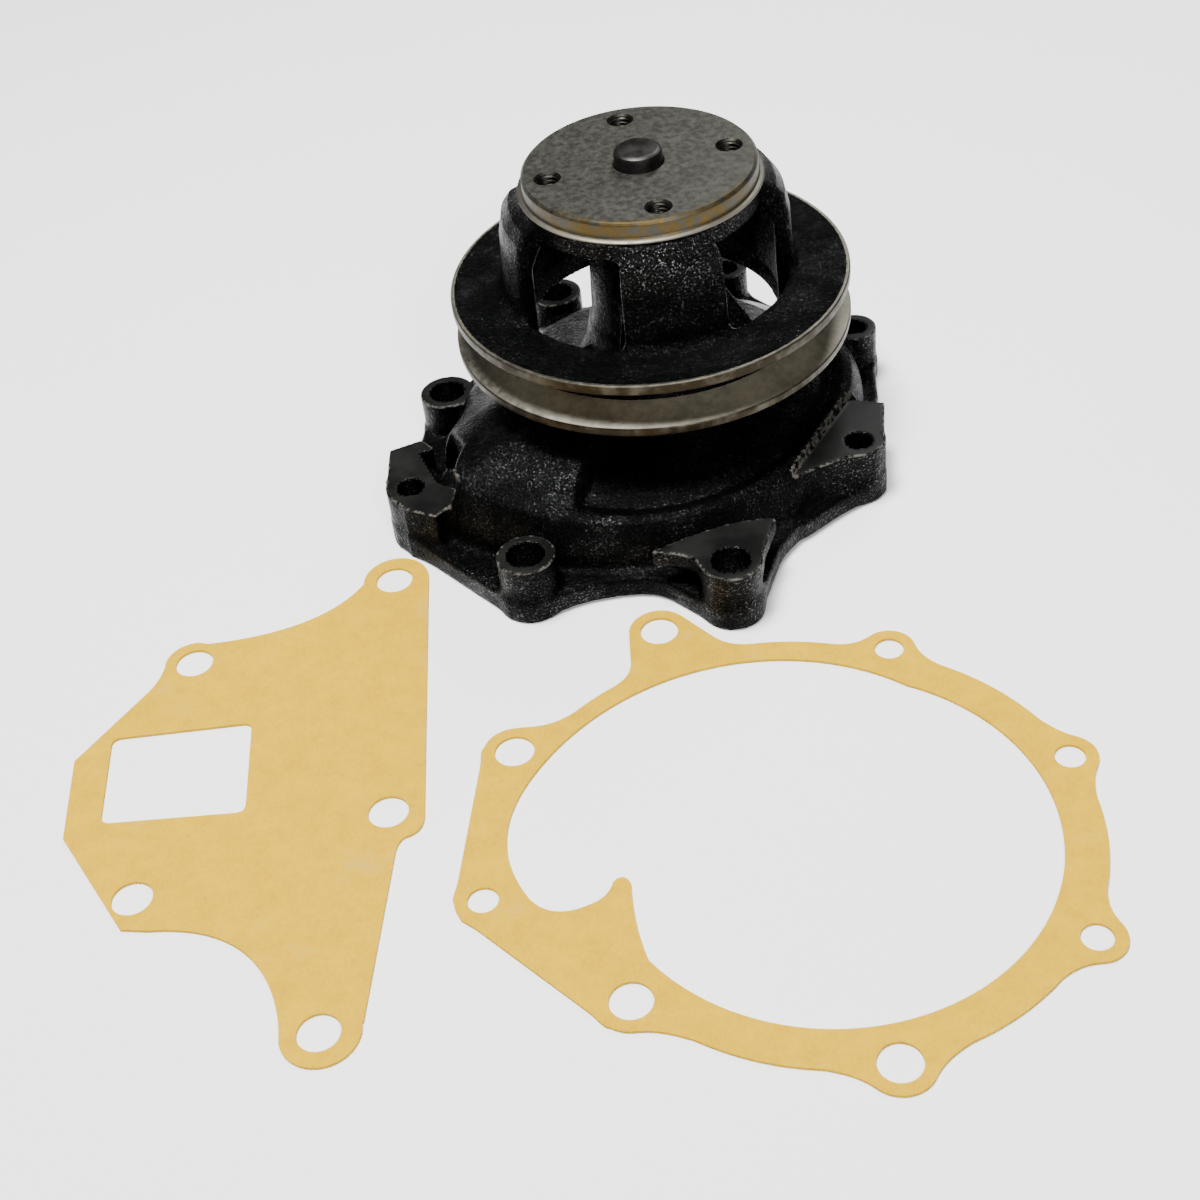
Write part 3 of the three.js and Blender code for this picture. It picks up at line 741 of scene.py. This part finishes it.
# Outlines of the milled pads, and how fast the side below each one leans in.
PADS = [
    [(-92, -52), (-82, -58), (-73.5, -50.5), (-79, -36), (-82.5, -20), (-86, -15.5), (-96.5, -19),
     (-97.5, -36)],
    [(4, -101), (0, -96.5), (-5, -93.5)] + curve([(-12, -91.5), (13, -80), (28, -83)], 8) + [(19.5, -103)],
    [(58, -55), (38.5, -62), (63.5, -24.5), (74.5, -29), (70, -50)],
]
PAD_UNDERCUTS = (0.0, 0.7, 0.0)
POCKET = [(-86, -22), (-82, -21), (-74, -24), (-70, -36), (-74, -45), (-80, -40)]
OPENING = opening_outline()


def snout_rib(x, y, z, angle):
    """A thin gusset that leans from the dome against the snout."""
    c, s = polar(1, angle)
    along, across = x * c + y * s, np.abs(-x * s + y * c)
    edge = (along - (RIB_FOOT_R - (z - RIB_FOOT_Z) * RIB_LEAN)) * 0.87
    sides = np.maximum(edge, across - RIB_HALF_WIDTH)
    return smooth_both(sides, np.maximum(RIB_BOTTOM_Z - z, -along), RIB_EDGE)


def body_shape(x, y, z):
    """The flange, the dome, and the snout with its ribs."""
    rho = np.hypot(x, y)
    solid = prism(flange_distance(x, y), z, 0, LEDGE_Z, FLANGE_EDGE)
    wall = rho - (DOME_R + soft_growth(azimuth(x, y)))
    dome = smooth_both(wall, (z - dome_top(x, y)) * 0.8, DOME_EDGE)
    dome = np.maximum(dome, 4 - z)
    solid = smooth_union(solid, dome, DOME_FILLET)
    cone = rho - (SNOUT_R + (SNOUT_TOP_Z - z) * SNOUT_DRAFT)
    snout = np.maximum(cone, np.maximum(z - SNOUT_TOP_Z, SNOUT_BOTTOM_Z - z))
    solid = smooth_union(solid, snout, SNOUT_FILLET)
    for angle in RIB_ANGLES:
        solid = smooth_union(solid, snout_rib(x, y, z, angle), RIB_FILLET)
    return solid


def add_bosses(solid, x, y, z):
    """Round bosses about the bolt holes and the three pads, all up to one height."""
    for bolt in BOLTS.values():
        boss = prism(circle(x, y, bolt[0], lobe_radius(bolt)), z, 0, PAD_Z, BOSS_EDGE)
        solid = smooth_union(solid, boss, BOSS_FILLET)
    for outline, undercut in zip(PADS, PAD_UNDERCUTS):
        hollow = np.clip(PAD_Z - 5 - z, 0, 20) * undercut
        pad = prism(polygon_distance(x, y, outline) - PAD_MARGIN + hollow, z, 0, PAD_Z, BOSS_EDGE)
        solid = smooth_union(solid, pad, PAD_FILLET)
    return solid


def mill_pads(solid, x, y, z):
    """Clears whatever stands above the pads and the bosses, and cuts the pocket beside the outlet."""
    for outline in PADS:
        cutter = polygon_distance(x, y, outline) - MILL_CLEARANCE
        solid = np.maximum(solid, -smooth_both(cutter, PAD_Z - z, MILL_FILLET))
    for bolt in BOLTS.values():
        spotface = circle(x, y, bolt[0], lobe_radius(bolt) + SPOTFACE_CLEARANCE)
        solid = np.maximum(solid, -np.maximum(spotface, PAD_Z - z))
    pocket = np.maximum(polygon_distance(x, y, POCKET), POCKET_FLOOR_Z - z)
    return smooth_cut(solid, pocket, POCKET_FILLET)


def hollow_out(solid, x, y, z):
    """Cuts the bolt holes, the chamber's mouth, the volute, the bores, the chamber and the weep hole."""
    rho = np.hypot(x, y)
    for bolt in BOLTS.values():
        solid = np.maximum(solid, -circle(x, y, bolt[0], hole_radius(bolt)))
    solid = np.maximum(solid, -np.maximum(polygon_distance(x, y, OPENING), z - OPENING_DEPTH))
    volute = np.maximum(rho - np.clip(76 - z, 58, 64), z - VOLUTE_ROOF_Z)
    solid = np.maximum(solid, -volute)
    for radius, bottom, top in BORES:
        solid = np.maximum(solid, -np.maximum(rho - radius, np.maximum(bottom - z, z - top)))
    chamber = np.maximum(rho - CHAMBER_R, z - np.clip(24.8 - rho * 0.045, 22.4, 24))
    solid = np.maximum(solid, -chamber)
    weep = np.maximum(np.hypot(x, z - WEEP_Z) - WEEP_R, np.maximum(y + 10, -y - 30))
    return np.maximum(solid, -weep)


def housing(x, y, z):
    solid = add_bosses(body_shape(x, y, z), x, y, z)
    solid = hollow_out(mill_pads(solid, x, y, z), x, y, z)
    return np.maximum(solid, -z)


def paint(piece, choose):
    """Numbers each face's material by what choose says of its centre, in millimetres, and its normal."""
    mesh = piece.data
    count = len(mesh.polygons)
    centre = np.zeros(count * 3, np.float32)
    normal = np.zeros(count * 3, np.float32)
    mesh.polygons.foreach_get("center", centre)
    mesh.polygons.foreach_get("normal", normal)
    chosen = choose(centre.reshape(-1, 3) / MM, normal.reshape(-1, 3))
    mesh.polygons.foreach_set("material_index", chosen.astype(np.int32))


def is_pad(centre, normal):
    return (np.abs(centre[:, 2] - PAD_Z) < 0.15) & (normal[:, 2] > 0.97)


def is_pad_edge(centre):
    x, y, z = centre.T
    near = np.full(len(x), 1e9)
    for bolt in BOLTS.values():
        near = np.minimum(near, circle(x, y, bolt[0], lobe_radius(bolt)))
    for outline in PADS:
        near = np.minimum(near, polygon_distance(x, y, outline) - PAD_MARGIN)
    return (np.abs(near) < 1.0) & (z > PAD_Z - 1.6)


def is_thread(centre):
    inside = np.zeros(len(centre), bool)
    for angle in LEG_ANGLES:
        inside |= circle(centre[:, 0], centre[:, 1], polar(TAPPED_CIRCLE_R, angle), TAPPED_R + 0.5) < 0
    return inside & (centre[:, 2] < FAN_FACE_Z - 0.2)


def make_housing():
    step = 0.75
    piece = cast_object("pump_casting", housing, (-101, -113, -2), (85, 83, SNOUT_TOP_Z + 2), step)
    # The third material paints a highlight along the pad and boss edges.
    for material in (ENAMEL, PAD, PAD_EDGE_HIGHLIGHT):
        piece.data.materials.append(material)

    def choose(centre, normal):
        return np.where(is_pad(centre, normal), 1, np.where(is_pad_edge(centre), 2, 0))

    paint(piece, choose)
    sharpen(piece, 50)
    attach(piece, "housing")
    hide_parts("pump_body")


# ---------- pulley ----------
# The legs' outer and inner surfaces, as (height, radius).
LEG_OUTSIDE = [(54, 50.2), (60, 50.2), (68, 49.8), (71, 49.2), (89, 48.4), (95.6, 47), (99.4, 44.2),
               (101.8, 39.5)]
LEG_INSIDE = [(54, 43.6), (68, 43.2), (86, 42.7), (93, 38.6), (96, 31)]


def web_ring(rho, z):
    """The ring from the legs to the rim: thin over the groove, thick inside its neck, open in the middle."""
    web = np.maximum(rho - WEB_R, np.maximum(PULLEY_BOTTOM_Z + 0.4 - z, z - PULLEY_TOP_Z))
    web = np.maximum(web, np.minimum(rho - WEB_NECK_R, WEB_FLOOR_Z - z))
    return np.maximum(web, WEB_HOLE_R - rho + np.clip(z - 66, 0, 3) * 0.5 - np.clip(54 - z, 0, 8))


def pulley_casting(x, y, z):
    rho = np.hypot(x, y)
    skirt = prism(rho - SKIRT_R, z, HUB_BOTTOM_Z, SKIRT_TOP_Z, SKIRT_EDGE)
    shell = np.maximum(rho - np.interp(z, *zip(*LEG_OUTSIDE)), np.interp(z, *zip(*LEG_INSIDE)) - rho)
    solid = smooth_union(skirt, web_ring(rho, z), WEB_FILLET)
    half = math.radians(LEG_HALF_WIDTH)
    for angle in LEG_ANGLES:
        c, s = polar(1, angle)
        along, across = x * c + y * s, np.abs(-x * s + y * c)
        side = across * math.cos(half) - along * math.sin(half)
        ends = np.maximum(LEG_BOTTOM_Z - z, z - LEG_TOP_Z)
        leg = smooth_both(smooth_both(shell, side, LEG_SIDE_EDGE), ends, LEG_END_EDGE)
        solid = smooth_union(solid, leg, LEG_FILLET)
    solid = np.maximum(solid, z - CASTING_TOP_Z)
    for angle in LEG_ANGLES:
        hole = circle(x, y, polar(TAPPED_CIRCLE_R, angle), TAPPED_R + 0.4)
        solid = np.maximum(solid, -np.maximum(hole, TAPPED_BOTTOM_Z - z))
    return np.maximum(solid, -(rho - SHAFT_R - SHAFT_GAP))


def rim_profile():
    """The rim's section with the belt groove in it, as (radius, height)."""
    middle = (GROOVE_TOP_Z + GROOVE_BOTTOM_Z) / 2
    depth = PULLEY_R - GROOVE_ROOT_R
    root = (GROOVE_TOP_Z - GROOVE_BOTTOM_Z) / 2 - depth * math.tan(math.radians(GROOVE_HALF_ANGLE))
    return [
        (66.8, PULLEY_TOP_Z), (67.5, PULLEY_TOP_Z), (67.9, 67.6), (PULLEY_R, 67.0),
        (PULLEY_R, GROOVE_TOP_Z + 0.4), (67.7, GROOVE_TOP_Z - 0.05),
        (GROOVE_ROOT_R + 0.5, middle + root + 0.1), (GROOVE_ROOT_R, middle + root - 0.4),
        (GROOVE_ROOT_R, middle - root + 0.4), (GROOVE_ROOT_R + 0.5, middle - root - 0.1),
        (67.7, GROOVE_BOTTOM_Z + 0.05), (PULLEY_R, GROOVE_BOTTOM_Z - 0.4),
        (PULLEY_R, 49.4), (67.9, 48.9), (67.5, PULLEY_BOTTOM_Z), (60.0, PULLEY_BOTTOM_Z),
        (56.5, 51.5), (54.6, 56), (54.6, 61), (58, 65.5), (64.0, 67.4),
    ]


def fan_disc():
    """The machined disc with its lip, brightened by a painted highlight in its material, the bore and four
    threaded holes.
    """
    piece = turned_object("fan_disc", [
        (SHAFT_R + SHAFT_GAP, 101.0), (SHAFT_R + SHAFT_GAP, FAN_FACE_Z - 0.3), (SHAFT_R + 0.6, FAN_FACE_Z),
        (FAN_FACE_R - 1.0, FAN_FACE_Z), (FAN_FACE_R - 0.1, FAN_FACE_Z - 0.9), (FAN_FACE_R, FAN_FACE_Z - 1.2),
        (FAN_FACE_R, 103.9), (39.2, 103.45), (40.2, LIP_TOP_Z), (LIP_R, 103.0), (LIP_R, 102.6),
        (40.2, LIP_BOTTOM_Z), (39.3, 102.1), (30.0, 101.0),
    ], 256, FACE)
    drills = []
    for i, angle in enumerate(LEG_ANGLES):
        cx, cy = polar(TAPPED_CIRCLE_R, angle)
        drill = thread_cutter(f"drill_{i}", cx, cy)
        drills.append(drill)
        cut = piece.modifiers.new("tap", "BOOLEAN")
        cut.operation = "DIFFERENCE"
        cut.solver = "EXACT"
        cut.object = drill
    apply_modifiers(piece)
    for drill in drills:
        bpy.data.objects.remove(drill)
    piece.data.materials.append(THREAD)
    paint(piece, lambda centre, normal: np.where(is_thread(centre), len(piece.data.materials) - 1, 0))
    sharpen(piece, 32)
    return piece


def thread_cutter(name, cx, cy):
    """A rod with ring-shaped ridges, which cuts a hole that shows its thread."""
    levels = []
    z = 99.0
    while z < FAN_FACE_Z - 1.0:
        levels += [(TAPPED_R - 0.45, z), (TAPPED_R + 0.25, z + THREAD_PITCH / 2)]
        z += THREAD_PITCH
    mouth = TAPPED_R + 0.6
    levels += [(TAPPED_R - 0.1, FAN_FACE_Z - 0.7), (mouth, FAN_FACE_Z + 0.05), (mouth, FAN_FACE_Z + 2)]
    facets = 40
    ring = np.arange(facets) * (2 * math.pi / facets)
    xs, ys = np.cos(ring), np.sin(ring)
    rows = [np.stack([cx + r * xs, cy + r * ys, np.full(facets, z)], axis=1) for r, z in levels]
    vertices = [tuple(v * MM) for v in np.concatenate(rows)]
    faces = []
    for a in range(len(levels) - 1):
        for i in range(facets):
            j = (i + 1) % facets
            faces.append((a * facets + i, a * facets + j, (a + 1) * facets + j, (a + 1) * facets + i))
    faces.append(tuple(reversed(range(facets))))
    faces.append(tuple((len(levels) - 1) * facets + i for i in range(facets)))
    mesh = bpy.data.meshes.new(name)
    mesh.from_pydata(vertices, [], faces)
    mesh.update()
    drill = bpy.data.objects.new(name, mesh)
    bpy.context.scene.collection.objects.link(drill)
    return drill


def apply_modifiers(piece):
    bpy.context.view_layer.update()
    graph = bpy.context.evaluated_depsgraph_get()
    baked = bpy.data.meshes.new_from_object(piece.evaluated_get(graph))
    piece.modifiers.clear()
    piece.data = baked


def make_pulley():
    step = 0.7
    reach = PULLEY_R + 1
    casting = cast_object("pulley_casting", pulley_casting, (-reach, -reach, 46), (reach, reach, 104), step)
    casting.data.materials.append(LEG_ENAMEL)
    sharpen(casting, 50)
    rim = turned_object("pulley_rim", rim_profile(), 256, GROOVE)
    disc = fan_disc()
    for piece, slot in ((casting, "black_enamel"), (rim, "machined_iron"), (disc, "machined_iron")):
        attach(piece, "rotor")
        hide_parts("fan_pulley")


def make_shaft():
    piece = turned_object("shaft_ground", [
        (0.01, 1.0), (SHAFT_R - 1.0, 1.0), (SHAFT_R, 2.0), (SHAFT_R, SHAFT_NOSE_Z - 1.3),
        (SHAFT_R - 0.3, SHAFT_NOSE_Z - 0.6), (SHAFT_R - 1.2, SHAFT_NOSE_Z - 0.05),
        (SHAFT_R - 1.5, SHAFT_NOSE_Z), (2.2, SHAFT_NOSE_Z), (0.01, SHAFT_NOSE_Z),
    ], 96, NOSE)
    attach(piece, "rotor")
    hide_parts("bearing_shaft")


# ---------- gaskets ----------
def around(centre, radius, degrees):
    dx, dy = polar(radius, degrees)
    return centre[0] + dx, centre[1] + dy


def ring_points(centre, radius, count=48):
    return [around(centre, radius, a) for a in np.arange(count) * 360 / count]


def arc(centre, radius, start, end, count=24):
    return [around(centre, radius, start + (end - start) * i / count) for i in range(count + 1)]


def flange_outline(count=720):
    """Walks round the flange and finds its edge on each ray by halving."""
    angles = np.arange(count) * (2 * math.pi / count)
    near, far = np.full(count, 60.0), np.full(count, 125.0)
    for _ in range(24):
        middle = (near + far) / 2
        inside = flange_distance(middle * np.cos(angles), middle * np.sin(angles), bolts=GASKET_BOLTS) < 0
        near, far = np.where(inside, middle, near), np.where(inside, far, middle)
    return [(r * math.cos(a), r * math.sin(a)) for r, a in zip(near, angles)]


def sheet_object(name, outline, cutouts, place):
    """A thin flat sheet with cut-outs, filled from closed outlines."""
    curve_data = bpy.data.curves.new(name, "CURVE")
    curve_data.dimensions = "2D"
    curve_data.fill_mode = "BOTH"
    curve_data.extrude = PAPER * MM / 2
    for points in [outline] + cutouts:
        spline = curve_data.splines.new("POLY")
        spline.points.add(len(points) - 1)
        for point, (x, y) in zip(spline.points, points):
            u, v = place(x, y)
            point.co = (u * MM, v * MM, 0, 1)
        spline.use_cyclic_u = True
    shell = bpy.data.objects.new(name + "_outline", curve_data)
    bpy.context.scene.collection.objects.link(shell)
    bpy.context.view_layer.update()
    mesh = bpy.data.meshes.new_from_object(shell.evaluated_get(bpy.context.evaluated_depsgraph_get()))
    bpy.data.objects.remove(shell)
    mesh.transform(Matrix.Translation((0, 0, PAPER * MM / 2)))
    mesh.materials.clear()
    mesh.materials.append(TAN)
    piece = bpy.data.objects.new(name, mesh)
    bpy.context.scene.collection.objects.link(piece)
    weld = piece.modifiers.new("weld", "WELD")
    weld.merge_threshold = 0.00001
    apply_modifiers(piece)
    for vertex in piece.data.vertices:
        vertex.co = Vector(np.clip(vertex.co, *CAD_BOX))
    sharpen(piece, 30)
    return piece


# The gasket's lobes are narrower than the casting's, in degrees on each side.
GASKET_SPREADS = {
    "a": (12, 10), "b": (12, 12), "c": (10, 10), "d": (12, 11),
    "e": (9, 9), "f": (9, 9), "g": (11, 11), "h": (9, 9),
}
GASKET_BOLTS = {name: (bolt[0], bolt[1], GASKET_SPREADS[name]) for name, bolt in BOLTS.items()}
VOLUTE_GASKET_AT = (24.1, -200.8)
VOLUTE_GASKET_TURN = -151.6
BLOCK_HOLES = [(-99, -64.6), (-164.9, -93), (-101.2, -169.5), (-175.5, -189.9), (-120, -244.9)]


def block_outline():
    return (
        [(-87.4, -66)]
        + curve([(-90.5, -173), (-90.8, -179), (-96.5, -180.2)], 8)
        + curve([(-96.5, -180.2), (-98.4, -181.5), (-99.2, -185)], 6)[1:] + [(-108, -243)]
        + arc((-119.6, -244.6), 11.3, 5, -167)
        + curve([(-131, -240), (-136, -205), (-170, -202.5)], 24)
        + [(-177.8, -200.8), (-199, -163), (-199.6, -131), (-179, -104)]
        + curve([(-179, -104), (-175.5, -99), (-174.6, -93)], 6)[1:]
        + arc((-165.2, -92.6), 9.4, 180, 81)
        + curve([(-161, -84.4), (-123, -85.5), (-109, -64)], 24) + arc((-98.4, -64.4), 11, 178, 0)
    )


def block_port():
    """The rectangular port, with its corners rounded."""
    corners = [(-188.6, -123.2), (-144.3, -124.3), (-144.3, -162), (-188.3, -159)]
    rounding = 3.2
    points = []
    for i, corner in enumerate(corners):
        before, after = Vector(corners[i - 1]), Vector(corners[(i + 1) % 4])
        here = Vector(corner)
        start = here + (before - here).normalized() * rounding
        end = here + (after - here).normalized() * rounding
        points += curve([tuple(start), corner, tuple(end)], 6)
    return points


def make_gaskets():
    c, s = polar(1, VOLUTE_GASKET_TURN)

    def flipped(x, y):
        return -x * c - y * s + VOLUTE_GASKET_AT[0], -x * s + y * c + VOLUTE_GASKET_AT[1]

    def as_drawn(x, y):
        return x, y

    holes = [ring_points(bolt[0], hole_radius(bolt)) for bolt in BOLTS.values()]
    ring = sheet_object("volute_gasket_sheet", flange_outline(), [gasket_opening()] + holes, flipped)
    holes = [ring_points(at, BIG_HOLE_R) for at in BLOCK_HOLES]
    flat = sheet_object("block_gasket_sheet", block_outline(), [block_port()] + holes, as_drawn)
    for piece, body, node in (
        (ring, "loose_volute_gasket", "volute_gasket"),
        (flat, "loose_block_gasket", "block_gasket"),
    ):
        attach(piece, body)
        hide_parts(node)


# ---------- carried-over pieces ----------
NODE_MATERIALS = {
    "black_enamel": ENAMEL,
    "machined_iron": FACE,
    "bare_iron": IRON,
    "bearing_steel": STEEL,
    "shaft_steel": NOSE,
    "seal_brass": BRASS,
    "cage_brass": BRASS,
    "seal_rubber": RUBBER,
    "seal_carbon": CARBON,
    "seat_ceramic": CERAMIC,
    "gasket_paper": TAN,
}


def dress_nodes():
    slots = {row["node"]: row["material_slot"] for row in frame["record"]["subparts"]}
    for name, node in frame["nodes"].items():
        node.data.materials.clear()
        node.data.materials.append(NODE_MATERIALS[slots[name]])


# ---------- stage ----------
def make_stage():
    mesh = bpy.data.meshes.new("floor")
    size = 6.0
    corners = [(-size, -size, 0), (size, -size, 0), (size, size, 0), (-size, size, 0)]
    mesh.from_pydata(corners, [], [(0, 1, 2, 3)])
    floor = bpy.data.objects.new("floor", mesh)
    floor.location.z = -0.0002
    bpy.context.scene.collection.objects.link(floor)
    n = Nodes("pale_floor")
    color = n.mix(n.noise(12), (0.93, 0.93, 0.93), (0.95, 0.95, 0.95))
    mesh.materials.append(n.set(Base_Color=color, Roughness=0.7))


def make_lights():
    world = bpy.data.worlds.new("studio")
    world.use_nodes = True
    background = world.node_tree.nodes["Background"]
    background.inputs["Color"].default_value = (1, 1, 1, 1)
    background.inputs["Strength"].default_value = WORLD_STRENGTH
    bpy.context.scene.world = world
    for name, (place, size, power) in LIGHTS.items():
        data = bpy.data.lights.new(name, "AREA")
        data.size = size
        data.energy = power
        light = bpy.data.objects.new(name, data)
        light.location = place
        aim = Vector(LIGHTS_AIM) - light.location
        light.rotation_euler = aim.to_track_quat("-Z", "Y").to_euler()
        bpy.context.scene.collection.objects.link(light)


dress_nodes()
make_housing()
make_pulley()
make_shaft()
make_gaskets()
make_stage()
make_lights()
